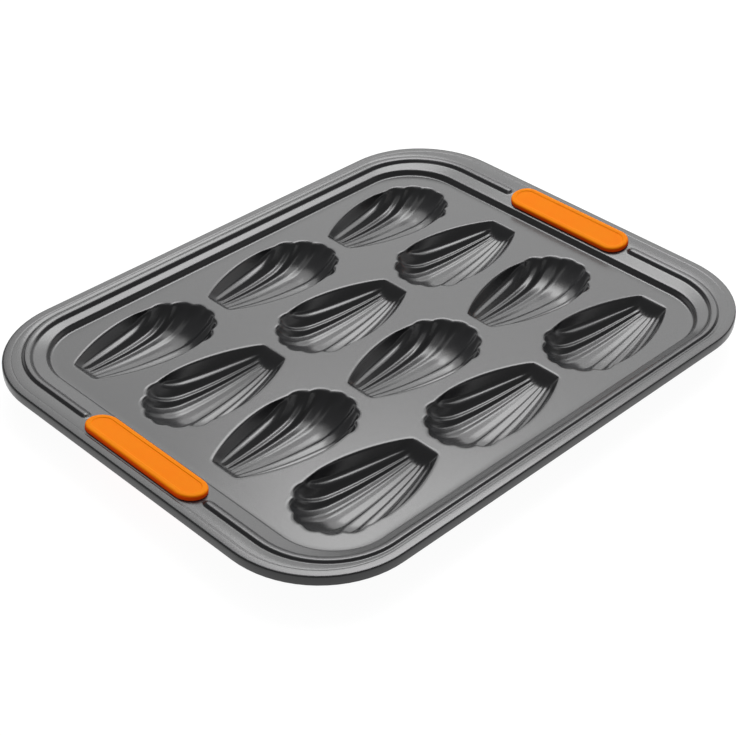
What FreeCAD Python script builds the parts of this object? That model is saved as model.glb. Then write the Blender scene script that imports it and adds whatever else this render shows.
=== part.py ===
import FreeCAD, Part
import Sketcher
import math
import os

# Madeleine pan: one pressed steel sheet with twelve fluted shell cups, a rim that steps
# up from the deck and slopes out to an edge turned down and hemmed, a bead on the slope,
# and two silicone grips that snap into slots in the short sides. X runs along the pan
# through both grips, Y across it, Z up. The lowest points of the cups stand on z = 0.

# Sizes in millimetres
SIZES = [
    ("overall_length", 360.0),
    ("overall_width", 280.0),
    ("outer_corner", 57.0),
    ("sheet_thick", 1.0),
    ("end_rim_width", 28.0),
    ("side_rim_width", 18.5),
    ("deck_corner", 34.0),
    ("rim_rise", 7.0),
    ("step_rise", 3.2),
    ("step_run", 1.6),
    ("bead_from_end", 16.0),
    ("bead_from_side", 10.3),
    ("bead_corner", 44.0),
    ("bead_foot", 6.0),
    ("bead_crown", 2.6),
    ("bead_rise", 1.5),
    ("bead_to_grip", 3.0),
    ("edge_band", 5.0),
    ("edge_round", 2.0),
    ("edge_height", 5.6),
    ("hem_height", 2.6),
    ("end_land", 9.5),
    ("side_land", 6.9),
    ("cup_gap_along", 9.0),
    ("cup_gap_across", 8.9),
    ("cup_narrow_width", 18.6),
    ("cup_widest_at", 12.35),
    ("cup_deepest_at", 17.0),
    ("cup_crest_depth", 11.9),
    ("cup_end_depth", 6.6),
    ("cup_end_run", 5.8),
    ("grip_length", 87.0),
    ("grip_width", 19.0),
    ("grip_from_end", 15.5),
    ("grip_proud", 2.8),
    ("grip_edge", 1.4),
    ("panel_border", 3.2),
    ("panel_depth", 0.4),
    ("slot_end_inset", 7.0),
    ("slot_side_inset", 6.0),
    ("slot_clearance", 0.25),
    ("back_inset", 3.0),
    ("grip_back_thick", 2.4),
    ("cut_overrun", 1.0),
]

# Counts and proportions of the shell cups
COLUMNS = 3
ROWS = 4
FLUTES = 8
SECTION_SHARES = (0.0, 0.35, 0.62, 0.82, 0.94, 1.0)
ROUND_SPACING_SHARE = 0.05
WALL_POWER_SHARE = 0.52
LIP_POWER_SHARE = 0.5
SECTION_BLEND = 3
FLUTE_BULGE_SHARE = 0.195
FLUTE_FACETS = 3
SLOPE_SHARE = 0.02
WALL_SHIFT_SHARE = 0.7

doc = FreeCAD.newDocument("madeleine_pan")
sheet = doc.addObject("Spreadsheet::Sheet", "sizes")


def set_size(row, alias, value):
    sheet.set("A%d" % row, alias)
    sheet.set("B%d" % row, str(value))
    sheet.setAlias("B%d" % row, alias)


# Sizes that follow from others, as formulas on the same sheet
FOLLOWING = [
    ("deck_length", "=overall_length - 2 * end_rim_width"),
    ("deck_width", "=overall_width - 2 * side_rim_width"),
    ("bead_length", "=overall_length - 2 * bead_from_end"),
    ("bead_width", "=overall_width - 2 * bead_from_side"),
    ("rim_length", "=overall_length - 2 * edge_band"),
    ("rim_width", "=overall_width - 2 * edge_band"),
    ("rim_corner", "=outer_corner - edge_band"),
    ("slope_rise", "=rim_rise - step_rise"),
    ("end_slope", "=slope_rise / (end_rim_width - edge_band - step_run)"),
    ("side_slope", "=slope_rise / (side_rim_width - edge_band - step_run)"),
    ("bead_slope", "=(end_slope + side_slope) / 2"),
    ("bead_drop", "=bead_slope * bead_foot / 2"),
    ("bead_under_end", "=rim_rise - end_slope * (bead_from_end - edge_band)"),
    ("bead_under_side", "=rim_rise - side_slope * (bead_from_side - edge_band)"),
    ("bead_level", "=(bead_under_end + bead_under_side) / 2"),
    ("grip_level", "=rim_rise - end_slope * (grip_from_end - edge_band)"),
    ("grip_tilt", "=atan(end_slope)"),
    ("wall_shift", "=%s * sheet_thick" % WALL_SHIFT_SHARE),
    ("slope_thick", "=sheet_thick * cos(grip_tilt) + wall_shift * sin(grip_tilt)"),
    ("cup_pitch_along", "=(deck_length - 2 * end_land) / %d" % COLUMNS),
    ("cup_pitch_across", "=(deck_width - 2 * side_land) / %d" % ROWS),
    ("cup_length", "=cup_pitch_along - cup_gap_along"),
    ("cup_width", "=cup_pitch_across - cup_gap_across"),
    ("grip_spacing", "=overall_length - 2 * grip_from_end"),
    ("slot_length", "=grip_length - 2 * slot_end_inset"),
    ("slot_width", "=grip_width - 2 * slot_side_inset"),
    ("grip_back_length", "=grip_length - 2 * back_inset"),
    ("grip_back_width", "=grip_width - 2 * back_inset"),
]
for row, (alias, value) in enumerate(SIZES + FOLLOWING, start=1):
    set_size(row, alias, value)
doc.recompute()


def total(*terms):
    """A sum of sheet values, as a number and as an expression on the sheet."""
    number = 0.0
    pieces = []
    for factor, alias in terms:
        number += factor * sheet.get(alias)
        pieces.append("%s * sizes.%s" % (factor, alias))
    return number, " + ".join(pieces)


# Shell cup: its sections swing about the mouth from the narrow end wall to the wide lip

def cup_floor(along, size):
    """Depth of the middle crest at a station along the cup."""
    if along < size["deepest_at"]:
        reach = size["deepest_at"] + size["back"] - size["run"]
        fall = size["depth"] - size["end_depth"]
    else:
        reach = size["front"] - size["deepest_at"]
        fall = size["depth"]
    radius = (reach ** 2 + fall ** 2) / (2 * fall)
    drop = radius - math.sqrt(radius ** 2 - (along - size["deepest_at"]) ** 2)
    return max(size["depth"] - drop, 0.0)


def cup_crests(share, size):
    """Crest points of one section, flank to flank, and the direction of its swing."""
    taper = size["wide"] - size["narrow"]
    flank = size["widest_at"] + size["back"]
    flank_radius = (flank ** 2 + taper ** 2) / (2 * taper)
    mouth = flank * share - size["back"]
    inset = flank_radius - math.sqrt(flank_radius ** 2 - (size["widest_at"] - mouth) ** 2)
    floor = (size["back"] + size["front"] - size["run"]) * share + size["run"] - size["back"]
    swing = FreeCAD.Vector(floor - mouth, 0, -cup_floor(floor, size))
    blend = share ** SECTION_BLEND
    power = WALL_POWER_SHARE + (LIP_POWER_SHARE - WALL_POWER_SHARE) * blend
    rounded = ROUND_SPACING_SHARE + (1 - ROUND_SPACING_SHARE) * blend
    crests = []
    for count in range(FLUTES + 1):
        even = 1 - 2 * count / FLUTES
        across = even + (math.cos(math.pi * count / FLUTES) - even) * rounded
        down = max(1 - across ** 2, 0.0) ** power
        side = FreeCAD.Vector(mouth, (size["wide"] - inset) * across, 0)
        crests.append(side + swing * down)
    return crests, swing


def flat_face(*corners):
    return Part.Face(Part.makePolygon(corners + corners[:1]))


def flute_hollow(share, count, size):
    """Points across one flute after its first crest, bulging square to the cup's skin."""
    crests, swing = cup_crests(share, size)
    first, last = crests[count:count + 2]
    chord = last - first
    if share in (SECTION_SHARES[0], SECTION_SHARES[-1]):
        outward = swing.cross(FreeCAD.Vector(0, 1, 0)).cross(chord)
    else:
        lower, upper = (cup_crests(each, size)[0] for each in (share - SLOPE_SHARE, share + SLOPE_SHARE))
        outward = (upper[count] + upper[count + 1] - lower[count] - lower[count + 1]).cross(chord)
    outward = outward.normalize() * chord.Length * FLUTE_BULGE_SHARE
    points = []
    for step in range(1, FLUTE_FACETS + 1):
        part = step / FLUTE_FACETS
        points.append(first + chord * part + outward * (4 * part * (1 - part)))
    return points


def cup_section(share, size, fluted):
    """Points across one section: a flat flank, a row of flutes or a plain bowl, a flat flank."""
    crests = cup_crests(share, size)[0]
    if not fluted:
        return crests
    points = crests[:2]
    for count in range(1, FLUTES - 1):
        points += flute_hollow(share, count, size)
    return points + crests[-1:]


def cup_solid(size, fluted):
    """A closed cup below its flat mouth at z = 0, and the face of the mouth."""
    sections = [cup_section(share, size, fluted) for share in SECTION_SHARES]
    faces = [flat_face(*sections[0])]
    for here, ahead in zip(sections[:-1], sections[1:]):
        for count in range(len(here) - 1):
            near, far = here[count:count + 2], ahead[count:count + 2]
            if 2 * count + 1 < len(here) - 1:
                near.reverse()
                far.reverse()
            faces.append(flat_face(near[0], near[1], far[0]))
            faces.append(flat_face(near[1], far[1], far[0]))
    left = [section[0] for section in sections]
    right = [section[-1] for section in sections]
    mouth = flat_face(*left, *sections[-1][1:], *right[-2::-1])
    skin = Part.Compound(faces + [mouth])
    skin.sewShape()
    outward = Part.makeSolid(skin.Shells[0]).Faces
    return Part.Solid(Part.makeShell(outward)), mouth


wall = sheet.get("sheet_thick")
flute_depth = FLUTE_BULGE_SHARE * sheet.get("cup_width") * math.pi / (2 * FLUTES)
inside = {
    "back": sheet.get("cup_length") / 2,
    "front": sheet.get("cup_length") / 2,
    "wide": sheet.get("cup_width") / 2,
    "narrow": sheet.get("cup_narrow_width") / 2,
    "widest_at": sheet.get("cup_widest_at"),
    "deepest_at": sheet.get("cup_deepest_at"),
    "depth": sheet.get("cup_crest_depth"),
    "end_depth": sheet.get("cup_end_depth"),
    "run": sheet.get("cup_end_run"),
}
outside = dict(inside)
outside["back"] += wall
outside["front"] += wall + flute_depth
outside["wide"] += wall + flute_depth
outside["narrow"] += wall + flute_depth
outside["depth"] += flute_depth + wall / 2
outside["end_depth"] += flute_depth + wall / 2
punch_shape, punch_mouth = cup_solid(inside, True)
punch_shape = punch_shape.fuse(punch_mouth.extrude(FreeCAD.Vector(0, 0, sheet.get("cut_overrun"))))
die_shape, die_mouth = cup_solid(outside, False)
die_shape.translate(FreeCAD.Vector(0, 0, -wall / 2))
set_size(len(SIZES + FOLLOWING) + 1, "deck_height", -die_shape.optimalBoundingBox(False, False).ZMin)
doc.recompute()


# Sketch helpers

def origin_plane(body, role):
    return [plane for plane in body.Origin.OriginFeatures if plane.Role == role][0]


def new_sketch(body, name, role="XY_Plane", level=None):
    """A sketch on a plane of its own body, moved along the plane's normal by level."""
    sketch = body.newObject("Sketcher::SketchObject", name)
    sketch.AttachmentSupport = [(origin_plane(body, role), "")]
    sketch.MapMode = "FlatFace"
    if level:
        sketch.setExpression("AttachmentOffset.Base.z", level[1])
    return sketch


def dimension(sketch, name, kind, *places):
    """A named dimension; its last place is a size from total()."""
    number, expression = places[-1]
    index = sketch.addConstraint(Sketcher.Constraint(kind, *places[:-1], number))
    sketch.renameConstraint(index, name)
    sketch.setExpression("Constraints." + name, expression)


def tie(sketch, kind, *places):
    sketch.addConstraint(Sketcher.Constraint(kind, *places))


def line(sketch, first, last):
    start = FreeCAD.Vector(first[0], first[1], 0)
    return sketch.addGeometry(Part.LineSegment(start, FreeCAD.Vector(last[0], last[1], 0)), False)


def arc(sketch, centre, radius, first, last):
    middle = FreeCAD.Vector(centre[0], centre[1], 0)
    circle = Part.Circle(middle, FreeCAD.Vector(0, 0, 1), radius)
    turn = Part.ArcOfCircle(circle, math.radians(first), math.radians(last))
    return sketch.addGeometry(turn, False)


def rounded_rectangle(sketch, name, length, width, corner):
    """A centred rectangle with four equal corner arcs, bound to the sheet."""
    x, y, r = length[0] / 2, width[0] / 2, corner[0]
    sides = [
        line(sketch, (r - x, -y), (x - r, -y)), arc(sketch, (x - r, r - y), r, -90, 0),
        line(sketch, (x, r - y), (x, y - r)), arc(sketch, (x - r, y - r), r, 0, 90),
        line(sketch, (x - r, y), (r - x, y)), arc(sketch, (r - x, y - r), r, 90, 180),
        line(sketch, (-x, y - r), (-x, r - y)), arc(sketch, (r - x, r - y), r, 180, 270),
    ]
    for here, following in zip(sides, sides[1:] + sides[:1]):
        tie(sketch, "Tangent", here, 2, following, 1)
    tie(sketch, "Horizontal", sides[0])
    tie(sketch, "Vertical", sides[2])
    tie(sketch, "Horizontal", sides[4])
    tie(sketch, "Vertical", sides[6])
    for turn in (3, 5, 7):
        tie(sketch, "Equal", sides[1], sides[turn])
    tie(sketch, "Symmetric", sides[1], 3, sides[5], 3, -1, 1)
    dimension(sketch, name + "_length", "DistanceX", sides[6], 1, sides[2], 1, length)
    dimension(sketch, name + "_width", "DistanceY", sides[0], 1, sides[4], 1, width)
    dimension(sketch, name + "_corner", "Radius", sides[1], corner)


def stadium(sketch, name, length, width, offset=None):
    """An oblong with round ends along Y, centred on the X axis."""
    x = offset[0] if offset else 0.0
    r = width[0] / 2
    y = length[0] / 2 - r
    sides = [
        line(sketch, (x + r, -y), (x + r, y)), arc(sketch, (x, y), r, 0, 180),
        line(sketch, (x - r, y), (x - r, -y)), arc(sketch, (x, -y), r, 180, 360),
    ]
    for here, following in zip(sides, sides[1:] + sides[:1]):
        tie(sketch, "Tangent", here, 2, following, 1)
    tie(sketch, "Vertical", sides[0])
    tie(sketch, "Symmetric", sides[1], 3, sides[3], 3, -1)
    straight = (length[0] - width[0], "(%s) - (%s)" % (length[1], width[1]))
    dimension(sketch, name + "_width", "DistanceX", sides[2], 1, sides[0], 2, width)
    dimension(sketch, name + "_straight", "DistanceY", sides[0], 1, sides[0], 2, straight)
    if offset:
        dimension(sketch, name + "_offset", "DistanceX", -1, 1, sides[1], 3, offset)
    else:
        tie(sketch, "PointOnObject", sides[1], 3, -2)


def feature(body, kind, name, profile, **values):
    made = body.newObject("PartDesign::" + kind, name)
    made.Profile = profile
    for key, value in values.items():
        setattr(made, key, value)
    return made


# Pan blank: deck, step and sloping rim as a block less a hollow, turned edge, slots, bead

pan = doc.addObject("PartDesign::Body", "pan_blank")
rim_top = total((1, "deck_height"), (1, "rim_rise"))
rim_under = total((1, "deck_height"), (1, "rim_rise"), (-1, "sheet_thick"))


def tray_loft(kind, name, lower):
    """The tray from deck to rim; lower is 1 for the sheet's underside and 0 for its top."""
    out = (lower, "wall_shift")
    down = (-lower, "sheet_thick")
    deck = new_sketch(pan, name + "_deck", level=total((1, "deck_height"), down))
    rounded_rectangle(deck, "deck", total((1, "deck_length"), out, out),
                      total((1, "deck_width"), out, out), total((1, "deck_corner"), out))
    step = new_sketch(pan, name + "_step", level=total((1, "deck_height"), (1, "step_rise"), down))
    rounded_rectangle(step, "step", total((1, "deck_length"), (2, "step_run"), out, out),
                      total((1, "deck_width"), (2, "step_run"), out, out),
                      total((1, "deck_corner"), (1, "step_run"), out))
    rim = new_sketch(pan, name + "_rim", level=total((1, "deck_height"), (1, "rim_rise"), down))
    rounded_rectangle(rim, "rim", total((1, "rim_length"), out, out),
                      total((1, "rim_width"), out, out), total((1, "rim_corner"), out))
    return feature(pan, kind, name, deck, Sections=[step, rim], Ruled=True)


block = tray_loft("AdditiveLoft", "tray_block", 1)
plate_sketch = new_sketch(pan, "rim_plate_outline", level=rim_under)
rounded_rectangle(plate_sketch, "outer", total((1, "rim_length"), (2, "cut_overrun")),
                  total((1, "rim_width"), (2, "cut_overrun")),
                  total((1, "rim_corner"), (1, "cut_overrun")))
plate = feature(pan, "Pad", "rim_plate", plate_sketch)
plate.setExpression("Length", "sizes.sheet_thick")
hollow = tray_loft("SubtractiveLoft", "tray_hollow", 0)
doc.recompute()

edge_path = new_sketch(pan, "edge_path", level=rim_top)
rounded_rectangle(edge_path, "path", total((1, "overall_length")), total((1, "overall_width")),
                  total((1, "outer_corner")))
edge_profile = new_sketch(pan, "edge_profile", "XZ_Plane")
half_length = total((0.5, "overall_length"))
band = total((1, "edge_band"))
turn_out = total((1, "edge_round"))
skirt = total((1, "edge_height"))
hem_thick = total((2, "sheet_thick"))
hem = total((1, "hem_height"))
x, z, r, thick = half_length[0], rim_top[0], turn_out[0], wall
low = z - skirt[0]
top_line = line(edge_profile, (x - band[0], z), (x - r, z))
outer_turn = arc(edge_profile, (x - r, z - r), r, 0, 90)
skirt_line = line(edge_profile, (x, z - r), (x, low))
hem_foot = line(edge_profile, (x, low), (x - hem_thick[0], low))
hem_back = line(edge_profile, (x - hem_thick[0], low), (x - hem_thick[0], low + hem[0]))
hem_head = line(edge_profile, (x - hem_thick[0], low + hem[0]), (x - thick, low + hem[0]))
inner_line = line(edge_profile, (x - thick, low + hem[0]), (x - thick, z - r))
inner_turn = line(edge_profile, (x - thick, z - r), (x - r, z - thick))
under_line = line(edge_profile, (x - r, z - thick), (x - band[0], z - thick))
root_line = line(edge_profile, (x - band[0], z - thick), (x - band[0], z))
tie(edge_profile, "Tangent", top_line, 2, outer_turn, 2)
tie(edge_profile, "Tangent", outer_turn, 1, skirt_line, 1)
for here, following in ((skirt_line, hem_foot), (hem_foot, hem_back), (hem_back, hem_head),
                        (hem_head, inner_line), (inner_line, inner_turn),
                        (inner_turn, under_line), (under_line, root_line),
                        (root_line, top_line)):
    tie(edge_profile, "Coincident", here, 2, following, 1)
tie(edge_profile, "Horizontal", inner_turn, 1, outer_turn, 3)
tie(edge_profile, "Vertical", inner_turn, 2, outer_turn, 3)
for side in (top_line, hem_foot, hem_head, under_line):
    tie(edge_profile, "Horizontal", side)
for side in (skirt_line, hem_back, inner_line, root_line):
    tie(edge_profile, "Vertical", side)
dimension(edge_profile, "turn_out", "Radius", outer_turn, turn_out)
dimension(edge_profile, "rim_thick", "DistanceY", root_line, 1, root_line, 2,
          total((1, "sheet_thick")))
dimension(edge_profile, "skirt_thick", "DistanceX", inner_line, 1, skirt_line, 1,
          total((1, "sheet_thick")))
dimension(edge_profile, "reach", "DistanceX", -1, 1, skirt_line, 1, half_length)
dimension(edge_profile, "rim_level", "DistanceY", -1, 1, top_line, 1, rim_top)
dimension(edge_profile, "band", "DistanceX", top_line, 1, skirt_line, 1, band)
dimension(edge_profile, "skirt", "DistanceY", skirt_line, 2, top_line, 1, skirt)
dimension(edge_profile, "hem_thick", "DistanceX", hem_foot, 2, hem_foot, 1, hem_thick)
dimension(edge_profile, "hem_height", "DistanceY", hem_back, 1, hem_back, 2, hem)
doc.recompute()
edge = feature(pan, "AdditivePipe", "turned_edge", edge_profile)
edge.Spine = (edge_path, [""])
doc.recompute()

slots_sketch = new_sketch(pan, "slot_outlines", level=rim_top)
slot_length = total((1, "slot_length"))
slot_width = total((1, "slot_width"))
stadium(slots_sketch, "right", slot_length, slot_width, total((0.5, "grip_spacing")))
slots = feature(pan, "Pocket", "grip_slots", slots_sketch)
slots.setExpression("Length", "sizes.rim_rise")
doc.recompute()
both_slots = pan.newObject("PartDesign::Mirrored", "both_grip_slots")
both_slots.Originals = [slots]
both_slots.MirrorPlane = (origin_plane(pan, "YZ_Plane"), [""])
pan.Tip = both_slots
doc.recompute()

# Raised bead: a path from grip to grip round each long side, hollow underneath

def bead_path(name, start):
    sketch = new_sketch(pan, name, level=total((1, "deck_height"), (1, "bead_level")))
    half_x = total((0.5, "bead_length"))
    half_y = total((0.5, "bead_width"))
    turn = total((1, "bead_corner"))
    x, y, r = half_x[0], half_y[0], turn[0]
    runs = [
        line(sketch, (x, start[0]), (x, y - r)), arc(sketch, (x - r, y - r), r, 0, 90),
        line(sketch, (x - r, y), (r - x, y)), arc(sketch, (r - x, y - r), r, 90, 180),
        line(sketch, (-x, y - r), (-x, start[0])),
    ]
    for here, following in zip(runs, runs[1:]):
        tie(sketch, "Tangent", here, 2, following, 1)
    tie(sketch, "Vertical", runs[0])
    tie(sketch, "Symmetric", runs[0], 1, runs[4], 2, -2)
    tie(sketch, "Equal", runs[1], runs[3])
    dimension(sketch, "corner", "Radius", runs[1], turn)
    dimension(sketch, "half_length", "DistanceX", -1, 1, runs[0], 1, half_x)
    dimension(sketch, "half_width", "DistanceY", -1, 1, runs[2], 1, half_y)
    dimension(sketch, "start", "DistanceY", -1, 1, runs[0], 1, start)
    return sketch


def bead_outline(name, start, lower):
    """Section across the bead: two flanks from a foot inside the sloping sheet to a flat crown."""
    sketch = new_sketch(pan, name, "XZ_Plane", (-start[0], "-1 * (%s)" % start[1]))
    level = ((1, "deck_height"), (1, "bead_level"), (-lower, "sheet_thick"))
    top = total(*level, (1, "bead_rise"))
    outer_low = total(*level, (-0.5, "sheet_thick"), (1, "bead_drop"))
    inner_low = total(*level, (-0.5, "sheet_thick"), (-1, "bead_drop"))
    crown_end = total((0.5, "bead_length"), (0.5, "bead_crown"))
    foot_end = total((0.5, "bead_length"), (0.5, "bead_foot"))
    width = total((1, "bead_crown"))
    reach = total((1, "bead_foot"))
    places = [
        (crown_end[0] - width[0], top[0]), (crown_end[0], top[0]),
        (foot_end[0], outer_low[0]), (foot_end[0] - reach[0], inner_low[0]),
    ]
    sides = [line(sketch, first, last) for first, last in zip(places, places[1:] + places[:1])]
    for here, following in zip(sides, sides[1:] + sides[:1]):
        tie(sketch, "Coincident", here, 2, following, 1)
    crown, outer_flank, foot, inner_flank = sides
    tie(sketch, "Horizontal", crown)
    dimension(sketch, "crown", "DistanceX", crown, 1, crown, 2, width)
    dimension(sketch, "crown_end", "DistanceX", -1, 1, crown, 2, crown_end)
    dimension(sketch, "crown_level", "DistanceY", -1, 1, crown, 2, top)
    dimension(sketch, "foot", "DistanceX", foot, 2, foot, 1, reach)
    dimension(sketch, "foot_end", "DistanceX", -1, 1, foot, 1, foot_end)
    dimension(sketch, "outer_level", "DistanceY", -1, 1, foot, 1, outer_low)
    dimension(sketch, "inner_level", "DistanceY", -1, 1, foot, 2, inner_low)
    return sketch


bead_start = total((0.5, "grip_length"), (1, "bead_to_grip"))
hollow_start = total((0.5, "grip_length"), (1, "bead_to_grip"), (1, "sheet_thick"))
bead_parts = []
for kind, name, start, lower in (("AdditivePipe", "bead", bead_start, 0),
                                 ("SubtractivePipe", "bead_hollow", hollow_start, 1)):
    path = bead_path(name + "_path", start)
    outline = bead_outline(name + "_outline", start, lower)
    doc.recompute()
    run = feature(pan, kind, name, outline)
    run.Spine = (path, [""])
    doc.recompute()
    bead_parts.append(run)
both_beads = pan.newObject("PartDesign::Mirrored", "both_beads")
both_beads.Originals = bead_parts
both_beads.MirrorPlane = (origin_plane(pan, "XZ_Plane"), [""])
pan.Tip = both_beads
doc.recompute()


# Twelve cups pressed into the blank, neighbouring rows turned end for end

def cup_places():
    places = []
    for column in range(COLUMNS):
        for row in range(ROWS):
            along = (column - (COLUMNS - 1) / 2) * sheet.get("cup_pitch_along")
            across = ((ROWS - 1) / 2 - row) * sheet.get("cup_pitch_across")
            turn = FreeCAD.Rotation(FreeCAD.Vector(0, 0, 1), 180 * (row % 2))
            spot = FreeCAD.Vector(along, across, sheet.get("deck_height"))
            places.append(FreeCAD.Placement(spot, turn))
    return places


def cup_array(name, shape):
    array = doc.addObject("Part::Feature", name)
    copies = []
    for place in cup_places():
        copy = shape.copy()
        copy.Placement = place.multiply(copy.Placement)
        copies.append(copy)
    array.Shape = Part.Compound(copies)
    return array


dies = cup_array("cup_dies", die_shape)
punches = cup_array("cup_punches", punch_shape)
pressed = doc.addObject("Part::Fuse", "pressed_blank")
pressed.Base = pan
pressed.Tool = dies
pan_sheet = doc.addObject("Part::Cut", "pan_sheet")
pan_sheet.Base = pressed
pan_sheet.Tool = punches
pan_sheet.Label = "pan_sheet"
doc.recompute()


# Silicone grips: a pad lying on the rim's slope, a neck through the slot, a back pad under it

def add_grip(label, side):
    body = doc.addObject("PartDesign::Body", label)
    body.Label = label
    face = new_sketch(body, label + "_face")
    stadium(face, "face", total((1, "grip_length")), total((1, "grip_width")))
    pad = feature(body, "Pad", label + "_pad", face)
    pad.setExpression("Length", "sizes.grip_proud")
    doc.recompute()
    top = [name for name, edge in zip(edge_names(pad.Shape), pad.Shape.Edges)
           if edge.BoundBox.ZMin > sheet.get("grip_proud") / 2]
    bevel = body.newObject("PartDesign::Chamfer", label + "_bevel")
    bevel.Base = (pad, top)
    bevel.setExpression("Size", "sizes.grip_edge")
    panel = new_sketch(body, label + "_panel_outline", level=total((1, "grip_proud")))
    stadium(panel, "panel", total((1, "grip_length"), (-2, "panel_border")),
            total((1, "grip_width"), (-2, "panel_border")))
    recess = feature(body, "Pocket", label + "_panel", panel)
    recess.setExpression("Length", "sizes.panel_depth")
    neck_outline = new_sketch(body, label + "_neck_outline")
    stadium(neck_outline, "neck", total((1, "slot_length"), (-2, "slot_clearance")),
            total((1, "slot_width"), (-2, "slot_clearance")))
    neck = feature(body, "Pad", label + "_neck", neck_outline, Reversed=True)
    neck.setExpression("Length", "sizes.slope_thick")
    back_outline = new_sketch(body, label + "_back_outline", level=total((-1, "slope_thick")))
    stadium(back_outline, "back", total((1, "grip_back_length")), total((1, "grip_back_width")))
    back = feature(body, "Pad", label + "_back", back_outline, Reversed=True)
    back.setExpression("Length", "sizes.grip_back_thick")
    doc.recompute()
    lean = FreeCAD.Rotation(FreeCAD.Vector(0, -side, 0), float(sheet.get("grip_tilt")))
    body.Placement = FreeCAD.Placement(FreeCAD.Vector(0, 0, 0), lean)
    body.setExpression("Placement.Base.x", "%s * sizes.grip_spacing" % (side / 2))
    body.setExpression("Placement.Base.z", total((1, "deck_height"), (1, "grip_level"))[1])
    body.setExpression("Placement.Rotation.Angle", "sizes.grip_tilt")
    return body


def edge_names(shape):
    return ["Edge%d" % number for number in range(1, len(shape.Edges) + 1)]


left_grip = add_grip("left_grip", -1)
right_grip = add_grip("right_grip", 1)
doc.recompute()

for made in doc.Objects:
    if "Invalid" in made.State or "Error" in made.State:
        raise RuntimeError("%s failed: %s" % (made.Name, made.State))
nodes = (pan_sheet, left_grip, right_grip)
for node in nodes:
    if node.Shape.isNull() or not node.Shape.isValid() or len(node.Shape.Solids) != 1:
        raise RuntimeError("%s has no single valid solid" % node.Label)
os.makedirs("parts", exist_ok=True)
for node in nodes:
    node.Shape.exportStep("parts/%s.step" % node.Label)
    box = node.Shape.optimalBoundingBox(False, False)
    print("%s: %.1f x %.1f x %.1f mm" % (node.Label, box.XLength, box.YLength, box.ZLength))
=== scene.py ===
# %% [markdown]
# # A madeleine pan
# The real object is one pressed steel sheet with a dark non-stick coat, twelve fluted
# shell cups and a beaded rim, and two orange silicone grips on its short sides.
# The solids already stand in the right place, so this lesson loads them as a fixed frame
# and builds finer skins over them, in metres, in the same frame.

# %% Load the frame
import math

import bmesh
import bpy
import numpy as np
from mathutils import Matrix, Vector
from mathutils.geometry import delaunay_2d_cdt


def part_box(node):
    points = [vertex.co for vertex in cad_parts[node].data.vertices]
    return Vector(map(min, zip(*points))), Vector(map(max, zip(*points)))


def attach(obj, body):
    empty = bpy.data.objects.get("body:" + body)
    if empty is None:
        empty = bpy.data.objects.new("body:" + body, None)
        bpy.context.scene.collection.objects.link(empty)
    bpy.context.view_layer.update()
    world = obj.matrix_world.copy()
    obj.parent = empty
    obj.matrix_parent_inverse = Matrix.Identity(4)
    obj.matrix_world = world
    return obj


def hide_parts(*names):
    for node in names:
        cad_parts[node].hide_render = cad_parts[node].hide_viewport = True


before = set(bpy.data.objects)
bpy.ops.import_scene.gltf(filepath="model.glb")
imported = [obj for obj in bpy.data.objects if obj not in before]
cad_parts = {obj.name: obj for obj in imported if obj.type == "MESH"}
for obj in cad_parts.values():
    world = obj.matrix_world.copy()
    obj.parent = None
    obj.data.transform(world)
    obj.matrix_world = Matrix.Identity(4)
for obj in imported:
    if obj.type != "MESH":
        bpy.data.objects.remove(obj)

scene = bpy.context.scene
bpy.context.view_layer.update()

# %% [markdown]
# Every length of the pan is written in millimetres and turned into metres by `MM`.
# The heights hang on the deck, the flat floor of the tray between the cups. It lies a rim
# rise below the sheet's highest point, which the frame gives. A low step leads from the deck
# to a rim that slopes out and up to a flat band along the edge. Deck, bead and outer edge
# are rounded rectangles, each given by its half length, half width and corner radius.

# %% Sizes of the sheet
MM = 0.001
SHEET_THICK = 1.0
STEP_RISE, STEP_RUN = 3.2, 1.6
RIM_RISE = 7.0
EDGE_BAND = 5.0
DECK = (151.2, 120.7, 33.2)
BEAD = (164.6, 129.7, 44.4)
OUTER = (180.0, 140.0, 57.0)
COLUMNS, ROWS = 3, 4
PITCH_ALONG, PITCH_ACROSS = 95.0, 57.3
deck_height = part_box("pan_sheet")[1].z - RIM_RISE * MM
print("deck height in mm:", round(deck_height / MM, 2))

# %% [markdown]
# Node trees are easier to read as sums than as boxes and wires. A `Wire` holds one output
# socket. Its operators add Math nodes, and `node` adds any other node with its settings
# and the values or wires of its sockets. A socket goes by its label, or by `i` and its
# number where labels repeat.

# %% A wrapper for node sockets
class Wire:
    def __init__(self, tree, socket):
        self.tree = tree
        self.socket = socket

    def node(self, kind, settings=None, out=0, **inputs):
        made = self.tree.nodes.new(kind)
        for name, value in (settings or {}).items():
            setattr(made, name, value)
        for name, value in inputs.items():
            numbered = name[0] == "i" and name[1:].isdigit()
            key = int(name[1:]) if numbered else name.replace("_", " ")
            plug(self.tree, made.inputs[key], value)
        return Wire(self.tree, made.outputs[out])

    def math(self, operation, first, second=0.0):
        return self.node("ShaderNodeMath", {"operation": operation}, i0=first, i1=second)

    def __add__(self, other):
        return self.math("ADD", self, other)

    def __sub__(self, other):
        return self.math("SUBTRACT", self, other)

    def __rsub__(self, other):
        return self.math("SUBTRACT", other, self)

    def __mul__(self, other):
        return self.math("MULTIPLY", self, other)

    def __truediv__(self, other):
        return self.math("DIVIDE", self, other)

    def __mod__(self, other):
        return self.math("FLOORED_MODULO", self, other)

    __radd__ = __add__
    __rmul__ = __mul__


def plug(tree, socket, value):
    if isinstance(value, Wire):
        tree.links.new(value.socket, socket)
    else:
        socket.default_value = value


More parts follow.
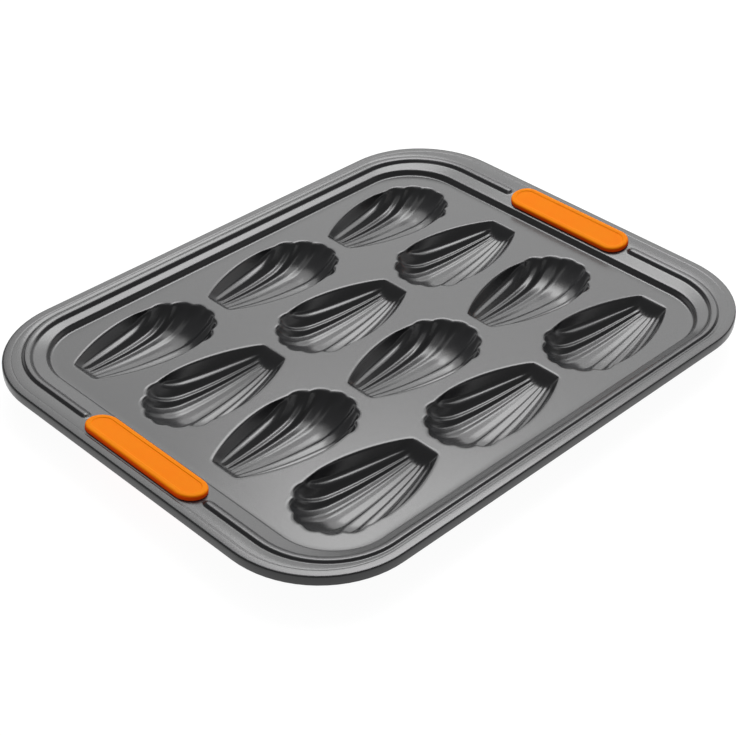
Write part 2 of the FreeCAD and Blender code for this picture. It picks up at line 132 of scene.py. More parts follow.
def new_finish(name):
    finish = bpy.data.materials.new(name)
    finish.use_nodes = True
    tree = finish.node_tree
    shader = tree.nodes["Principled BSDF"]
    place = tree.nodes.new("ShaderNodeTexCoord")
    return finish, tree, shader, Wire(tree, place.outputs["Object"])


print("socket wrapper ready")

# %% [markdown]
# The coat is a dark satin lacquer over steel. Seen close it has a fine orange-peel grain
# and faint cloudy patches where it was sprayed thicker. A painted picture would blur when seen
# close, so colour and roughness follow two noises on Object coordinates, and the grain is
# a very shallow bump.

# %% Finish of the coated sheet
COAT_COLOUR, COAT_IOR = (0.012, 0.0123, 0.0132), 1.5
CLOUD_SCALE, GRAIN_SCALE = 14.0, 1900.0
SHADE, SHADE_CLOUDS, SHADE_GRAIN = 0.82, 0.22, 0.14
ROUGH, ROUGH_CLOUDS, ROUGH_GRAIN = 0.18, 0.06, 0.05
GRAIN_DEEP, GRAIN_STRENGTH = 0.12, 0.12

coat, tree, shader, place = new_finish("non_stick_coat")
clouds = place.node("ShaderNodeTexNoise", Vector=place, Scale=CLOUD_SCALE, Detail=3.0, Roughness=0.55)
grain = place.node("ShaderNodeTexNoise", Vector=place, Scale=GRAIN_SCALE, Detail=2.0, Roughness=0.6)
shade = SHADE + clouds * SHADE_CLOUDS + grain * SHADE_GRAIN
dark = place.node("ShaderNodeVectorMath", {"operation": "SCALE"}, i0=COAT_COLOUR, Scale=shade)
plug(tree, shader.inputs["Base Color"], dark)
plug(tree, shader.inputs["Roughness"], ROUGH + clouds * ROUGH_CLOUDS + grain * ROUGH_GRAIN)
bump = place.node("ShaderNodeBump", Strength=GRAIN_STRENGTH, Distance=GRAIN_DEEP * MM, Height=grain)
plug(tree, shader.inputs["Normal"], bump)
shader.inputs["IOR"].default_value = COAT_IOR
print("coat nodes:", len(tree.nodes))

# %% [markdown]
# The grips are moulded silicone: an even orange with a soft, slightly waxy gloss. Light
# soaks in a little, so the thin edges glow redder, and that glow is painted into the colour as
# a redder orange low on the grip. Two materials would leave a hard line, so one colour is mixed
# by the height above the sloped rim, and a fine matt grain keeps the highlight broad.

# %% Finish of the grips
GRIP_AT = 164.5
# The first colour is a painted glow: a redder orange that stands in for light soaking through the thin
# edges.
PAINTED_GLOW_ORANGE, PAD_ORANGE = (0.85, 0.055, 0.001, 1.0), (0.70, 0.198, 0.001, 1.0)
RED_BELOW, ORANGE_ABOVE = 1.5, 2.75
MOTTLE_SCALE, PORE_SCALE = 60.0, 2600.0
LIFT_SHARE, MOTTLE_SHARE = 0.85, 0.2
PAD_ROUGH, PAD_ROUGH_PORES = 0.52, 0.12
PORE_DEEP, PORE_STRENGTH = 0.1, 0.15
PAD_GLOSS, GLOW_SHARE, GLOW_REACH = 0.03, 0.12, (4.0, 1.2, 0.3)
grip_slope = (RIM_RISE - STEP_RISE) / (OUTER[0] - EDGE_BAND - DECK[0] - STEP_RUN)
grip_level = RIM_RISE - grip_slope * (OUTER[0] - EDGE_BAND - GRIP_AT)

silicone, tree, shader, place = new_finish("orange_silicone")
from_middle = place.math("ABSOLUTE", place.node("ShaderNodeSeparateXYZ", out=0, Vector=place))
height = place.node("ShaderNodeSeparateXYZ", out=2, Vector=place)
above_slope = height - (deck_height + grip_level * MM) - (from_middle - GRIP_AT * MM) * grip_slope
# Painted glow: the colour fades from the redder painted glow near the slope to the pad's orange higher up.
lift = place.node("ShaderNodeMapRange", {"interpolation_type": "SMOOTHSTEP"}, Value=above_slope,
                  From_Min=RED_BELOW * MM, From_Max=ORANGE_ABOVE * MM)
mottle = place.node("ShaderNodeTexNoise", Vector=place, Scale=MOTTLE_SCALE, Detail=3.0)
pores = place.node("ShaderNodeTexNoise", Vector=place, Scale=PORE_SCALE, Detail=2.0)
blend = lift * LIFT_SHARE + mottle * MOTTLE_SHARE
orange = place.node("ShaderNodeMix", {"data_type": "RGBA"}, out=2, i0=blend, i6=PAINTED_GLOW_ORANGE, i7=PAD_ORANGE)
plug(tree, shader.inputs["Base Color"], orange)
plug(tree, shader.inputs["Roughness"], PAD_ROUGH + pores * PAD_ROUGH_PORES)
bump = place.node("ShaderNodeBump", Strength=PORE_STRENGTH, Distance=PORE_DEEP * MM, Height=pores)
plug(tree, shader.inputs["Normal"], bump)
shader.inputs["Specular IOR Level"].default_value = PAD_GLOSS
shader.inputs["Subsurface Weight"].default_value = GLOW_SHARE
shader.inputs["Subsurface Radius"].default_value = [reach * MM for reach in GLOW_REACH]
print("silicone nodes:", len(tree.nodes))

# %% [markdown]
# One shell cup follows a rule, the same one as the solid's, because twelve cups shaped by hand
# would never match. A section starts upright at the narrow end and swings down and forward
# until it lies flat at the scalloped lip. Nine crests share each section. Down the length
# the floor is two arcs that meet where the cup is deepest.

# %% Crest lines of one cup
FLUTES = 8
SECTIONS = 34
CUP_BACK, CUP_FRONT = 43.0, 43.0
CUP_WIDE, CUP_NARROW = 24.2, 9.3
WIDEST_AT, DEEPEST_AT = 12.35, 17.0
CREST_DEPTH, END_DEPTH, END_RUN = 12.7, 6.6, 5.8
HOLLOW_POWER, HOLLOW_POWER_GAIN = 0.52, 0.10
END_ROUND_SHARE = 0.05


def floor_depth(along):
    back_reach = DEEPEST_AT + CUP_BACK - END_RUN
    back_fall = CREST_DEPTH - END_DEPTH
    front_reach = CUP_FRONT - DEEPEST_AT
    reach = np.where(along < DEEPEST_AT, back_reach, front_reach)
    fall = np.where(along < DEEPEST_AT, back_fall, CREST_DEPTH)
    radius = (reach ** 2 + fall ** 2) / (2 * fall)
    drop = radius - np.sqrt(radius ** 2 - (along - DEEPEST_AT) ** 2)
    return np.maximum(CREST_DEPTH - drop, 0.0)


def crest_lines(shares):
    """Places of the crests, section by section, and the way each section swings."""
    taper = CUP_WIDE - CUP_NARROW
    flank = WIDEST_AT + CUP_BACK
    flank_radius = (flank ** 2 + taper ** 2) / (2 * taper)
    mouth = flank * shares - CUP_BACK
    half = CUP_WIDE - flank_radius + np.sqrt(flank_radius ** 2 - (WIDEST_AT - mouth) ** 2)
    floor = (CUP_BACK + CUP_FRONT - END_RUN) * shares + END_RUN - CUP_BACK
    blend = shares ** 3
    power = (HOLLOW_POWER + HOLLOW_POWER_GAIN * blend)[:, None]
    round_share = (END_ROUND_SHARE + (1 - END_ROUND_SHARE) * blend)[:, None]
    even = 1 - 2 * np.arange(FLUTES + 1) / FLUTES
    across = even + (np.cos(math.pi * np.arange(FLUTES + 1) / FLUTES) - even) * round_share
    down = np.clip(1 - across ** 2, 0, None) ** power
    swing = np.stack([floor - mouth, 0 * mouth, -floor_depth(floor)], axis=1)
    side = np.stack([mouth[:, None] + 0 * across, half[:, None] * across, 0 * across], axis=2)
    return side + swing[:, None, :] * down[:, :, None], swing


section_shares = np.linspace(0, 1, SECTIONS + 1)
crests, section_swing = crest_lines(section_shares)
print("crests:", crests.shape[1], "of", crests.shape[0], "points")

# %% [markdown]
# Between two crests the sheet bulges into a flute. A round flute would catch two highlights,
# but the pressed one has a soft crease to one side, so its profile is two almost straight
# flanks that meet off the middle. The middle flutes are shallower. Towards the lip and the
# narrow end the flutes turn into even, round scallops, and the two outermost run out.

# %% Flutes between the crests
FLUTE_STEPS = 8
FLUTE_BULGE_SHARES = (0.13, 0.22, 0.22, 0.09, 0.09, 0.22, 0.22, 0.13)
FLUTE_LOW_SHARES = (0.75, 0.625, 0.375, 0.375, 0.625, 0.625, 0.375, 0.25)
FLUTE_POWER = 1.12
LIP_BULGE_SHARE, LIP_LOW_SHARE = 0.2, 0.5
LIP_LENGTH_SHARE, END_LENGTH_SHARE = 0.1, 0.08
NO_LENGTH = 1e-9


def unit(vectors):
    return vectors / np.maximum(np.linalg.norm(vectors, axis=-1, keepdims=True), NO_LENGTH)


def smooth(value):
    value = np.clip(value, 0, 1)
    return value * value * (3 - 2 * value)


def cup_skin():
    section_way = unit(np.cross(section_swing, (0.0, 1.0, 0.0)))
    near_lip = smooth((section_shares - (1 - LIP_LENGTH_SHARE)) / LIP_LENGTH_SHARE)
    near_end = smooth((END_LENGTH_SHARE - section_shares) / END_LENGTH_SHARE)
    flat = np.maximum(near_lip, near_end)[:, None]
    columns = [crests[:, 0]]
    for flute in range(FLUTES):
        first, last = crests[:, flute], crests[:, flute + 1]
        chord = last - first
        in_section = unit(np.cross(section_way, chord))
        square = unit(np.cross(np.gradient(first + last, axis=0), chord))
        outward = unit(in_section * flat + square * (1 - flat))
        flank = flute in (0, FLUTES - 1)
        lip_share = 0.0 if flank else LIP_BULGE_SHARE
        lip_low = FLUTE_LOW_SHARES[flute] if flank else LIP_LOW_SHARE
        share = FLUTE_BULGE_SHARES[flute] * (1 - flat) + lip_share * flat
        low = FLUTE_LOW_SHARES[flute] + (lip_low - FLUTE_LOW_SHARES[flute]) * flat
        bulge = share * np.linalg.norm(chord, axis=1, keepdims=True)
        for step in range(1, FLUTE_STEPS + 1):
            part = step / FLUTE_STEPS
            from_low = (part - low) / np.where(part < low, low, 1 - low)
            crease = 1 - np.abs(from_low) ** FLUTE_POWER
            hollow = crease * (1 - flat) + (1 - from_low ** 2) * flat
            columns.append(first + chord * part + outward * bulge * hollow)
    return np.stack(columns, axis=1)


skin = cup_skin()
print("one cup:", skin.shape[0], "sections of", skin.shape[1], "points")

# %% [markdown]
# The skin is a grid of points. An upright wall closes it at the narrow end, and the mouth
# is walked once round, up one flank, along the lip, back down the other flank and across
# the end. A few helpers come first: a soft bend between three points, the quads between
# closed rings, and the outward way at each point of a loop.

# %% Grid and mouth of one cup
END_STEPS = 3


def bend(start, corner, stop, part):
    return start * (1 - part) ** 2 + corner * 2 * part * (1 - part) + stop * part ** 2


def joined(rings):
    """Quads between each closed ring and the next."""
    quads = []
    for here, ahead in zip(rings[:-1], rings[1:]):
        for spot in range(len(here)):
            after = (spot + 1) % len(here)
            quads.append((here[spot], here[after], ahead[after], ahead[spot]))
    return quads


def outward_ways(loop):
    ahead = np.roll(loop, -1, axis=0) - np.roll(loop, 1, axis=0)
    ways = unit(np.stack([ahead[:, 1], -ahead[:, 0], 0 * ahead[:, 0]], axis=1))
    return ways if (ways * (loop - loop.mean(axis=0))).sum() > 0 else -ways


def cup_grid():
    end = skin[0]
    top = np.stack([np.full(len(end), -CUP_BACK), end[:, 1], np.zeros(len(end))], axis=1)
    wall = [end + (top - end) * step / END_STEPS for step in range(END_STEPS, 0, -1)]
    return np.concatenate([np.array(wall), skin])


def mouth_spots(lip, side):
    """Row and column of each grid point on the mouth, once round."""
    spots = [(row, 0) for row in range(END_STEPS, lip)]
    spots += [(lip, col) for col in range(side + 1)]
    spots += [(row, side) for row in range(lip - 1, END_STEPS - 1, -1)]
    return spots + [(0, col) for col in range(side - 1, 0, -1)]


cup_points = cup_grid()
lip_row, side_col = cup_points.shape[0] - 1, cup_points.shape[1] - 1
mouth = mouth_spots(lip_row, side_col)
print("mouth points:", len(mouth))

# %% [markdown]
# A press never leaves a knife edge where the deck turns down into a cup. A Bevel modifier
# could round the crests as well, so the lip is rounded here: each point of the mouth becomes a
# small curve from the deck to the wall. A last flat ring on the deck keeps the shading of
# the deck even.

# %% Mesh of one cup with its rounded lip
LIP_ROUND, LIP_REACH_SHARE = 1.5, 0.7
LIP_CURVE_SHARES = (0.66, 0.33, 0.0)
DECK_RING = 0.5


def cup_mesh():
    grid = cup_points.copy()
    wide = side_col + 1
    loop = np.array([grid[spot] for spot in mouth])
    inside = np.array([grid[row + (row in (0, END_STEPS)) - (row == lip_row),
                            col + (col == 0) - (col == side_col)] for row, col in mouth])
    into = inside - loop
    reach = np.minimum(LIP_ROUND, LIP_REACH_SHARE * np.linalg.norm(into, axis=1))[:, None]
    inner = loop + unit(into) * reach
    for spot, place in zip(mouth, inner):
        grid[spot] = place
    for col in (0, side_col):
        grid[:END_STEPS, col] = grid[END_STEPS, col]
    points = grid.reshape(-1, 3).tolist()
    faces = []
    for row in range(lip_row):
        for corner in range(row * wide, row * wide + side_col):
            faces.append((corner, corner + 1, corner + wide + 1, corner + wide))
    ways = outward_ways(loop)
    hem = loop + ways * (LIP_ROUND + DECK_RING)
    curves = [bend(loop + ways * LIP_ROUND, loop, inner, part) for part in LIP_CURVE_SHARES]
    rings = [[row * wide + col for row, col in mouth]]
    for curve in curves + [hem]:
        rings.append(list(range(len(points), len(points) + len(mouth))))
        points += curve.tolist()
    mesh = bpy.data.meshes.new("cup")
    mesh.from_pydata([[MM * value for value in point] for point in points], [], faces + joined(rings))
    return mesh, hem


cup, cup_hem = cup_mesh()
print("cup faces:", len(cup.polygons))

# %% [markdown]
# Twelve cups stand in rows, and the narrow ends turn round from row to row. A loop could
# copy the mesh, but a node tree keeps the pattern open to change: it puts a copy of the cup on
# each point of a grid, turns every second row by half a turn and makes the copies real.
# Its sizes are named inputs of the modifier.

# %% Rows of cups with Geometry Nodes
def cup_rows_tree():
    group = bpy.data.node_groups.new("cup_rows", "GeometryNodeTree")
    interface = group.interface
    interface.new_socket("Geometry", in_out="OUTPUT", socket_type="NodeSocketGeometry")
    kinds = {"Cup": "NodeSocketGeometry", "Columns": "NodeSocketInt", "Rows": "NodeSocketInt",
             "Pitch along": "NodeSocketFloat", "Pitch across": "NodeSocketFloat",
             "Height": "NodeSocketFloat", "Finish": "NodeSocketMaterial"}
    for name, kind in kinds.items():
        interface.new_socket(name, in_out="INPUT", socket_type=kind)
    entry = group.nodes.new("NodeGroupInput")
    given = {socket.name: Wire(group, socket) for socket in entry.outputs if socket.name}
    columns, rows = given["Columns"], given["Rows"]
    along, across = given["Pitch along"], given["Pitch across"]
    depth = (rows - 1) * across
    spots = columns.node("GeometryNodeMeshGrid", Size_X=(columns - 1) * along, Size_Y=depth,
                         Vertices_X=columns, Vertices_Y=rows)
    place = columns.node("GeometryNodeInputPosition")
    forth = columns.node("ShaderNodeSeparateXYZ", out=1, Vector=place)
    row = columns.math("ROUND", (depth * 0.5 - forth) / across)
    turn = columns.node("ShaderNodeCombineXYZ", Z=(row % 2.0) * math.pi)
    lift = columns.node("ShaderNodeCombineXYZ", Z=given["Height"])
    raised = columns.node("GeometryNodeSetPosition", Geometry=spots, Offset=lift)
    copies = columns.node("GeometryNodeInstanceOnPoints", Points=raised, Instance=given["Cup"],
                          Rotation=turn)
    real = columns.node("GeometryNodeRealizeInstances", Geometry=copies)
    dressed = columns.node("GeometryNodeSetMaterial", Geometry=real, Material=given["Finish"])
    leave = group.nodes.new("NodeGroupOutput")
    plug(group, leave.inputs[0], dressed)
    return group


def plain_mesh(thing):
    bpy.context.view_layer.update()
    seen = thing.evaluated_get(bpy.context.evaluated_depsgraph_get())
    return bpy.data.meshes.new_from_object(seen)


cup_pattern = bpy.data.objects.new("cup_pattern", cup)
scene.collection.objects.link(cup_pattern)
repeat = cup_pattern.modifiers.new("cup_rows", "NODES")
repeat.node_group = cup_rows_tree()
sizes = {"Columns": COLUMNS, "Rows": ROWS, "Pitch along": PITCH_ALONG * MM,
         "Pitch across": PITCH_ACROSS * MM, "Height": deck_height, "Finish": coat}
for socket in repeat.node_group.interface.items_tree:
    if socket.in_out == "INPUT" and socket.name in sizes:
        repeat[socket.identifier] = sizes[socket.name]
cups = plain_mesh(cup_pattern)
bpy.data.objects.remove(cup_pattern)
print("cup rows:", len(cups.polygons), "faces")

# %% [markdown]
# The rim could be swept along a curve, but its corners grow rounder from the deck to the edge.
# So it is a stack of rounded rectangles, each a little wider than the last and all with
# the same number of points. The stops along a side are shares of its straight half, and
# on a short side they lie close together where the bead ends.

# %% Rounded rectangles of the rim
CORNER_STEPS, CURVE_STEPS = 18, 4
LEG_PARTS = 2.05
LONG_STOP_SHARES = np.linspace(-1, 1, 13)
BEAD_END_SHARES = np.linspace(-0.70, -0.52, 17)
HALF_STOP_SHARES = np.concatenate([[-1.0, -0.9, -0.8], BEAD_END_SHARES, [-0.4, -0.2]])
SHORT_STOP_SHARES = np.concatenate([HALF_STOP_SHARES, [0.0], -HALF_STOP_SHARES[::-1]])


def outline(size, offset):
    half_long, half_wide, corner = (value + offset for value in size)
    flat_long, flat_wide = half_long - corner, half_wide - corner
    points = []
    for number, way in enumerate(((1, 0), (0, 1), (-1, 0), (0, -1))):
        spin = (-way[1], way[0])
        far = half_long if way[0] else half_wide
        stops = SHORT_STOP_SHARES * flat_wide if way[0] else LONG_STOP_SHARES * flat_long
        for stop in stops:
            points.append((way[0] * far + spin[0] * stop, way[1] * far + spin[1] * stop))
        centre = ((way[0] + spin[0]) * flat_long, (way[1] + spin[1]) * flat_wide)
        for step in range(1, CORNER_STEPS):
            angle = math.pi / 2 * number + math.pi / 2 * step / CORNER_STEPS
            points.append((centre[0] + corner * math.cos(angle), centre[1] + corner * math.sin(angle)))
    return np.array(points)


def rounded(path, radii, steps=CURVE_STEPS):
    """A path of (offset, height) whose inner corners become curves, each less than half a leg."""
    points = [np.array(path[0], float)]
    for before, corner, after, radius in zip(path[:-2], path[1:-1], path[2:], radii):
        before, corner, after = (np.array(each, float) for each in (before, corner, after))
        nearest = min(np.linalg.norm(before - corner), np.linalg.norm(after - corner))
        reach = min(radius, nearest / LEG_PARTS)
        start = corner + unit(before - corner) * reach
        stop = corner + unit(after - corner) * reach
        points += [bend(start, corner, stop, step / steps) for step in range(steps + 1)]
    points.append(np.array(path[-1], float))
    return points


print("points in a rim ring:", len(outline(OUTER, 0)))

# %% [markdown]
# The rings climb the step from the deck, follow the slope over the bead, cross a fine groove
# and the flat band, go down the turned edge and come back under the hem. The slope
# joins two outlines with different corners, so its height is worked out point by point. The
# bead stiffens the rim and ends in a rounded tip on each side of a grip.

# %% Rim rings
DECK_MARGIN, SLOPE_START, STEP_ROUNDS = 4.0, 2.0, (1.3, 0.9)
BEAD_RISE, BEAD_END, BEAD_FOOT, BEAD_CROWN = 1.5, 49.0, 3.3, 1.0
BEAD_OFFSETS = (-3.9, -3.3, -2.9, -2.5, -2.1, -1.6, -1.0, 0.0, 1.0, 1.6, 2.1, 2.5, 2.9, 3.3, 3.7)
SHORT_SIDE_WIDE = 30.0
GROOVE_HALF, GROOVE_DEEP = 0.6, 0.2
SKIRT, HEM_TURN, HEM_RISE = 5.6, 1.9, 2.6
EDGE_ROUNDS = (0.5, 0.5, 1.2, 0.5, 0.6)


def bead_lift(ring, offset):
    along = np.abs(ring[:, 1])
    short_side = np.abs(ring[:, 0]) > OUTER[0] - SHORT_SIDE_WIDE
    past_end = np.where(short_side, np.maximum(BEAD_END - along, 0), 0)
    away = np.hypot(past_end, offset)
    return BEAD_RISE * smooth((BEAD_FOOT - away) / (BEAD_FOOT - BEAD_CROWN))


def slope_level(ring):
    """Height of the slope under each point of a ring."""
    inner = outline(DECK, STEP_RUN)
    outer = outline(OUTER, -EDGE_BAND)
    share = ((ring - inner) * (outer - inner)).sum(axis=1) / ((outer - inner) ** 2).sum(axis=1)
    return STEP_RISE + (RIM_RISE - STEP_RISE) * share


step_path = [(-DECK_MARGIN, 0), (0, 0), (STEP_RUN, STEP_RISE), (STEP_RUN + SLOPE_START, STEP_RISE)]
skirt_foot = RIM_RISE - SKIRT
edge_path = [(-EDGE_BAND - GROOVE_HALF, RIM_RISE), (-EDGE_BAND, RIM_RISE - GROOVE_DEEP),
             (-EDGE_BAND + GROOVE_HALF, RIM_RISE), (0, RIM_RISE), (0, skirt_foot),
             (-HEM_TURN, skirt_foot), (-HEM_TURN, skirt_foot + HEM_RISE)]
rings = []
for offset, level in rounded(step_path, STEP_ROUNDS):
    ring = outline(DECK, offset)
    above = slope_level(ring) - STEP_RISE if offset > STEP_RUN else np.zeros(len(ring))
    rings.append(np.column_stack([ring, level + above]))
for offset in BEAD_OFFSETS:
    ring = outline(BEAD, offset)
    rings.append(np.column_stack([ring, slope_level(ring) + bead_lift(ring, offset)]))
for offset, level in rounded(edge_path, EDGE_ROUNDS):
    ring = outline(OUTER, offset)
    below = np.minimum(slope_level(ring) - RIM_RISE, 0) if offset < -EDGE_BAND else np.zeros(len(ring))
    rings.append(np.column_stack([ring, level + below]))
print("rim rings:", len(rings), "of", len(rings[0]), "points")

# %% [markdown]
# The deck is a flat plate with twelve scalloped holes. Filling it by hand would take
# hundreds of faces, and a boolean cut could leave points that don't meet those of the cups. A
# constrained Delaunay triangulation joins the hole edges and the first rim ring exactly.

# %% Deck with twelve holes
MEET_WITHIN = 1e-6
INSIDE_MODE = 1


def deck_faces(boundary, holes):
    spots = []
    loops = []
    for loop in [boundary] + holes:
        ahead = np.roll(loop, -1, axis=0)
        turning = (loop[:, 0] * ahead[:, 1] - loop[:, 1] * ahead[:, 0]).sum()
        places = list(range(len(spots), len(spots) + len(loop)))
        loops.append(places if turning > 0 else places[::-1])
        spots += [Vector(point[:2]) for point in loop]
    points, _, faces, _, _, sources = delaunay_2d_cdt(spots, [], loops, INSIDE_MODE, MEET_WITHIN)
    kept = [face for face, source in zip(faces, sources) if list(source) == [0]]
    return [(point.x, point.y, 0.0) for point in points], kept


holes = []
for column in range(COLUMNS):
    for row in range(ROWS):
        turn = -1 if row % 2 else 1
        along = (column - (COLUMNS - 1) / 2) * PITCH_ALONG
        across = ((ROWS - 1) / 2 - row) * PITCH_ACROSS
        holes.append(cup_hem * (turn, turn, 1) + (along, across, 0))
deck_points, deck_tris = deck_faces(rings[0], holes)
print("deck triangles:", len(deck_tris))

# %% [markdown]
# Deck, cups and rim are one pressing on the real pan, so they are welded into one skin here.
# Their edges were made to meet, and merging the doubles closes the seams. The deck
# then shows which way is up, and the count of odd edges shows that nothing was torn.

# %% One pressed sheet
WELD_WITHIN, SAME_SPOT = 3e-6, 1e-6
LEVEL_ENOUGH = 0.999


def add_faces(points, faces):
    made = [sheet.verts.new((x * MM, y * MM, z * MM + deck_height)) for x, y, z in points]
    for face in faces:
        sheet.faces.new([made[number] for number in face])


sheet = bmesh.new()
sheet.from_mesh(cups)
add_faces(deck_points, deck_tris)
count = len(rings[0])
ring_numbers = [list(range(level * count, (level + 1) * count)) for level in range(len(rings))]
add_faces([point for ring in rings for point in ring], joined(ring_numbers))
bmesh.ops.remove_doubles(sheet, verts=sheet.verts, dist=WELD_WITHIN)
bmesh.ops.dissolve_degenerate(sheet, edges=sheet.edges, dist=SAME_SPOT)
bmesh.ops.recalc_face_normals(sheet, faces=sheet.faces)
level_faces = [face for face in sheet.faces if abs(face.normal.z) > LEVEL_ENOUGH]
if max(level_faces, key=lambda face: face.calc_area()).normal.z < 0:
    bmesh.ops.reverse_faces(sheet, faces=sheet.faces)
open_edges = [edge for edge in sheet.edges if edge.is_boundary]
odd_edges = [edge for edge in sheet.edges if not edge.is_manifold and not edge.is_boundary]
print("sheet faces:", len(sheet.faces), "open edges:", len(open_edges), "odd edges:", len(odd_edges))

# %% [markdown]
# So far the sheet is a single skin. Solidify adds a second one a sheet's thickness below and
# closes the free edge of the hem, which is simpler than modelling the underside. Each finished
# mesh then takes its material, rides on the root and hides the solid it stands for.

# %% Thickness and place
def finished_piece(name, mesh, node, finish):
    for polygon in mesh.polygons:
        polygon.use_smooth = True
    mesh.materials.clear()
    mesh.materials.append(finish)
    piece = bpy.data.objects.new(name, mesh)
    scene.collection.objects.link(piece)
    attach(piece, "root")
    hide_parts(node)
    print(name, "has", sum(len(polygon.vertices) - 2 for polygon in mesh.polygons), "triangles")


draft_mesh = bpy.data.meshes.new("sheet_draft")
sheet.to_mesh(draft_mesh)
sheet.free()
draft = bpy.data.objects.new("sheet_draft", draft_mesh)
scene.collection.objects.link(draft)
thicken = draft.modifiers.new("thicken", "SOLIDIFY")
thicken.thickness = SHEET_THICK * MM
thicken.offset = -1.0
thicken.use_even_offset = True
sheet_mesh = plain_mesh(draft)
bpy.data.objects.remove(draft)
finished_piece("pressed_sheet", sheet_mesh, "pan_sheet", coat)

# %% [markdown]
# A grip is moulded right through the rim: a pad above, a neck in a slot and a back pad
# below. A bevelled box would still need round ends and a panel cut into the pad, so the grip is
# one stack of stadium rings from the back to the top, with soft edges. The stack is then
# leaned over to lie on the slope.

# %% Silicone grips
PAD, NECK, BACK_PAD = (43.5, 9.5), (36.2, 3.2), (40.5, 6.5)
PROUD, BACK_THICK, SLOPE_THICK = 2.8, 2.4, 1.107
CAP_IN, BACK_TOP_IN, BACK_ROUNDS = 3.0, 1.5, (0.9, 0.6)
PAD_DRAFT, PAD_ROUNDS, PAD_STEPS = 0.2, (0.5, 2.2, 0.5, 0.3), 6
PANEL_FRAME, PANEL_EDGE, PANEL_IN, PANEL_DEEP = 3.2, 0.3, 6.0, 0.35
END_TURNS, SIDE_STEPS = 20, 8


def stadium(size, offset):
    half_long, radius = size[0] + offset, size[1] + offset
    flat = half_long - radius
    points = []
    for end in (1, -1):
        for step in range(END_TURNS + 1):
            angle = math.pi * step / END_TURNS - (0 if end > 0 else math.pi)
            points.append((radius * math.cos(angle), end * flat + radius * math.sin(angle)))
        for step in range(1, SIDE_STEPS):
            points.append((-end * radius, end * flat * (1 - 2 * step / SIDE_STEPS)))
    return points


def grip_rings():
    """Stadium rings with their heights over the slope, from the back of the grip to its top."""
    under = -SLOPE_THICK
    back = under - BACK_THICK
    panel = PROUD - PANEL_DEEP
    back_path = [(-CAP_IN, back), (0, back), (0, under), (-BACK_TOP_IN, under)]
    pad_path = [(-CAP_IN, 0), (0, 0), (-PAD_DRAFT, PROUD), (-PANEL_FRAME, PROUD),
                (-PANEL_FRAME - PANEL_EDGE, panel), (-PANEL_IN, panel)]
    stack = ((BACK_PAD, rounded(back_path, BACK_ROUNDS)), (NECK, [(0, under), (0, 0)]),
             (PAD, rounded(pad_path, PAD_ROUNDS, PAD_STEPS)))
    return [(stadium(size, offset), level) for size, path in stack for offset, level in path]


def grip_mesh(side):
    lean = Matrix.Rotation(-side * math.atan(grip_slope), 4, "Y")
    move = Matrix.Translation((side * GRIP_AT * MM, 0, deck_height + grip_level * MM)) @ lean
    made = bmesh.new()
    rows = []
    for ring, level in grip_rings():
        rows.append([made.verts.new(move @ Vector((x * MM, y * MM, level * MM))) for x, y in ring])
    for quad in joined(rows):
        made.faces.new(quad)
    made.faces.new(rows[0][::-1])
    made.faces.new(rows[-1])
    bmesh.ops.remove_doubles(made, verts=made.verts, dist=SAME_SPOT)
    bmesh.ops.recalc_face_normals(made, faces=made.faces)
    mesh = bpy.data.meshes.new("grip")
    made.to_mesh(mesh)
    made.free()
    return mesh


finished_piece("left_grip_pad", grip_mesh(-1), "left_grip", silicone)
finished_piece("right_grip_pad", grip_mesh(1), "right_grip", silicone)

# %% [markdown]
# The pan lies on a plain pale floor. A satin coat mirrors what stands round it, so the floor
# turns up into low pale walls far away. The paper glows by itself and stays white without
# a strong lamp. The studio is large, so its sizes are in metres.

# %% Floor
FLOOR_REACH, WALL_HIGH = 4.0, 1.2
PAPER_GREY, PAPER_GLOW = (0.10, 0.10, 0.10, 1.0), 0.95
PAPER_ROUGH, PAPER_GLOSS = 0.9, 0.1
WHITE = (1.0, 1.0, 1.0, 1.0)

corners = [(x * FLOOR_REACH, y * FLOOR_REACH) for x, y in ((-1, -1), (1, -1), (1, 1), (-1, 1))]
floor_faces = [(0, 1, 2, 3)]
for side in range(4):
    after = (side + 1) % 4
    floor_faces.append((after, side, side + 4, after + 4))
floor_mesh = bpy.data.meshes.new("floor")
floor_mesh.from_pydata([(x, y, z) for z in (0, WALL_HIGH) for x, y in corners], [], floor_faces)
floor = bpy.data.objects.new("floor", floor_mesh)
scene.collection.objects.link(floor)
paper, tree, shader, place = new_finish("pale_paper")
shader.inputs["Base Color"].default_value = PAPER_GREY
shader.inputs["Emission Color"].default_value = WHITE
shader.inputs["Emission Strength"].default_value = PAPER_GLOW
shader.inputs["Roughness"].default_value = PAPER_ROUGH
shader.inputs["Specular IOR Level"].default_value = PAPER_GLOSS
floor_mesh.materials.append(paper)
print("floor faces:", len(floor_mesh.polygons))

# %% [markdown]
# Three softboxes light the pan. A bright key hangs high behind it and draws a bright line down
# the flutes. A wide box further back gives the deck its even tone, and a small dim one overhead
# softens the shadows. Flanks that mirror the dim surround stay dark.

# %% Light
OVERHEAD_AT, OVERHEAD_SIZE, OVERHEAD_BRIGHT = (-0.10, 0.10, 1.20), (0.6, 0.6), 1.0
KEY_AT, KEY_SIZE, KEY_BRIGHT = (0.52, 0.37, 1.13), (0.62, 0.78), 6.8
BACK_AT, BACK_SIZE, BACK_BRIGHT = (1.09, 0.77, 1.21), (2.1, 1.5), 2.7
WORLD_BRIGHT = 0.25


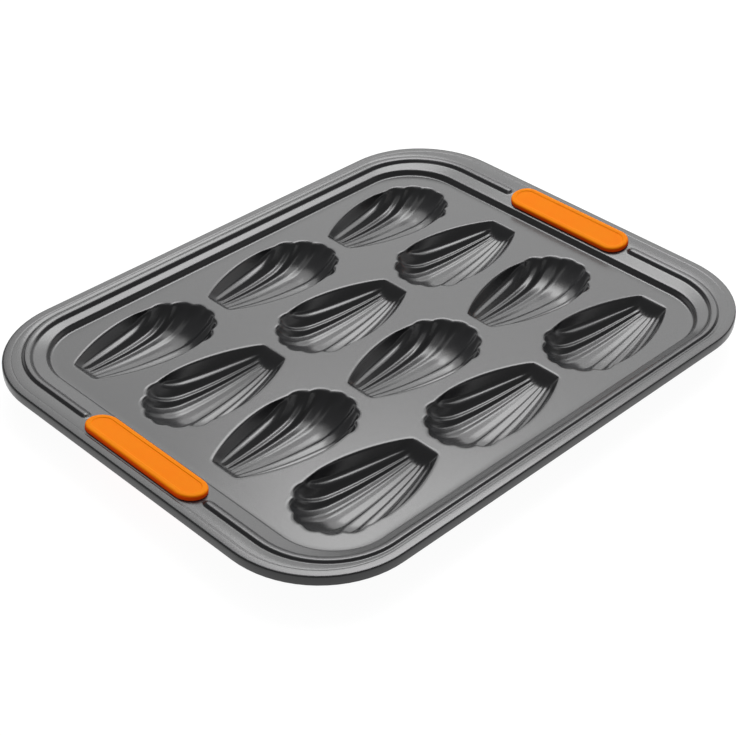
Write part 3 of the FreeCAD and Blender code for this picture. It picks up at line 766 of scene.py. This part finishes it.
def softbox(name, spot, size, brightness):
    lamp = bpy.data.lights.new(name, "AREA")
    lamp.shape = "RECTANGLE"
    lamp.size, lamp.size_y = size
    lamp.energy = brightness * math.pi * size[0] * size[1]
    thing = bpy.data.objects.new(name, lamp)
    scene.collection.objects.link(thing)
    thing.location = spot
    thing.rotation_euler = (-Vector(spot)).to_track_quat("-Z", "Y").to_euler()


softbox("overhead_softbox", OVERHEAD_AT, OVERHEAD_SIZE, OVERHEAD_BRIGHT)
softbox("key_softbox", KEY_AT, KEY_SIZE, KEY_BRIGHT)
softbox("back_softbox", BACK_AT, BACK_SIZE, BACK_BRIGHT)
world = bpy.data.worlds.new("studio")
world.use_nodes = True
world.node_tree.nodes["Background"].inputs["Color"].default_value = WHITE
world.node_tree.nodes["Background"].inputs["Strength"].default_value = WORLD_BRIGHT
scene.world = world
scene.view_settings.view_transform = "Standard"

# %% [markdown]
# The camera was fitted to the outline of the pan: it looks down from the near left corner
# with a long lens. Its three axes come from an azimuth, an elevation and a small roll, which
# are easier to read and to change than a matrix. Its place is given along those axes.

# %% Camera
AZIMUTH, ELEVATION, ROLL = -0.78978, 0.63252, 0.01405
VIEW_FROM = (-5.54515, -18.11175, 943.92475)
FOCAL_PIXELS, IMAGE_PIXELS = 1696.5, 736
SENSOR_WIDE = 36.0

level_share = math.cos(ELEVATION)
back = Vector((math.sin(AZIMUTH) * level_share, -math.cos(AZIMUTH) * level_share, math.sin(ELEVATION)))
right = Vector((0, 0, 1)).cross(back).normalized()
up = back.cross(right)
axis_x = right * math.cos(ROLL) + up * math.sin(ROLL)
axis_y = up * math.cos(ROLL) - right * math.sin(ROLL)
spot = (axis_x * VIEW_FROM[0] + axis_y * VIEW_FROM[1] + back * VIEW_FROM[2]) * MM
spot.z += deck_height
lens = bpy.data.cameras.new("camera")
lens.sensor_width = SENSOR_WIDE
lens.lens = FOCAL_PIXELS / IMAGE_PIXELS * SENSOR_WIDE
camera = bpy.data.objects.new("camera", lens)
scene.collection.objects.link(camera)
camera.matrix_world = Matrix((axis_x, axis_y, back)).transposed().to_4x4()
camera.location = spot
scene.camera = camera
print("camera at", [round(value, 3) for value in spot])
